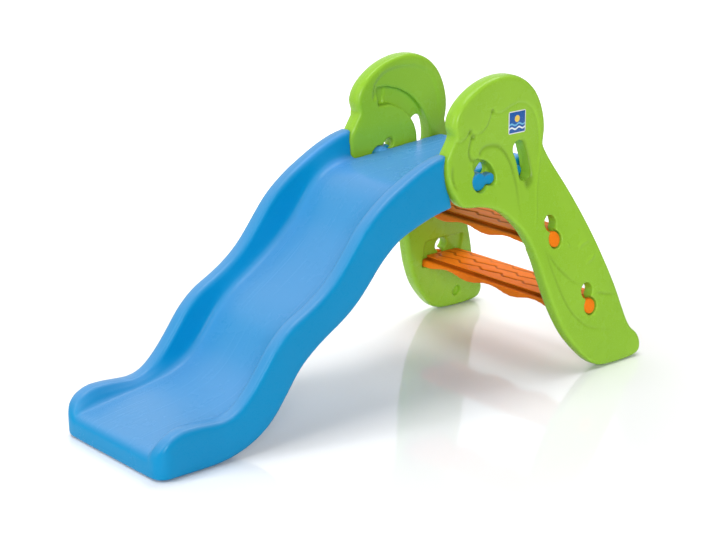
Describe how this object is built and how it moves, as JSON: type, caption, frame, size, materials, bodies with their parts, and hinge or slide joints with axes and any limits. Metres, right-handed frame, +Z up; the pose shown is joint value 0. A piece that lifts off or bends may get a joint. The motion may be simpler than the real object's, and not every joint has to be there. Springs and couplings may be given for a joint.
{
  "type": "toddler slide",
  "caption": "Folding toddler slide: wavy chute with a platform, two domed side panels that form handrails and legs, and two wavy-fronted steps hooked between them.",
  "frame": {"origin": "on the floor, in the middle of the slide's footprint", "axes": "+Z up, +X from the chute's toe towards the ladder, so -X is the way a child slides; +Y is the child's right-hand side when sliding"},
  "size_m": [1.5386, 0.6894, 0.828],
  "materials": {
    "blue_chute": "satin moulded polyethylene",
    "green_left_panel": "satin moulded polyethylene",
    "green_right_panel": "satin moulded polyethylene",
    "orange_upper_step": "satin moulded polyethylene",
    "orange_lower_step": "satin moulded polyethylene",
    "label_film": "printed vinyl"
  },
  "bodies": {
    "slide": {"chute": "blue_chute"},
    "ladder": {"side_panel_left": "green_left_panel", "side_panel_right": "green_right_panel", "upper_step": "orange_upper_step", "lower_step": "orange_lower_step", "panel_label": "label_film"}
  },
  "joints": [
    {"name": "fold", "type": "hinge", "parent": "slide", "child": "ladder", "pos_m": [0.2463, 0, 0.56], "axis": [0, 1, 0], "range_deg": [0, 88]}
  ]
}
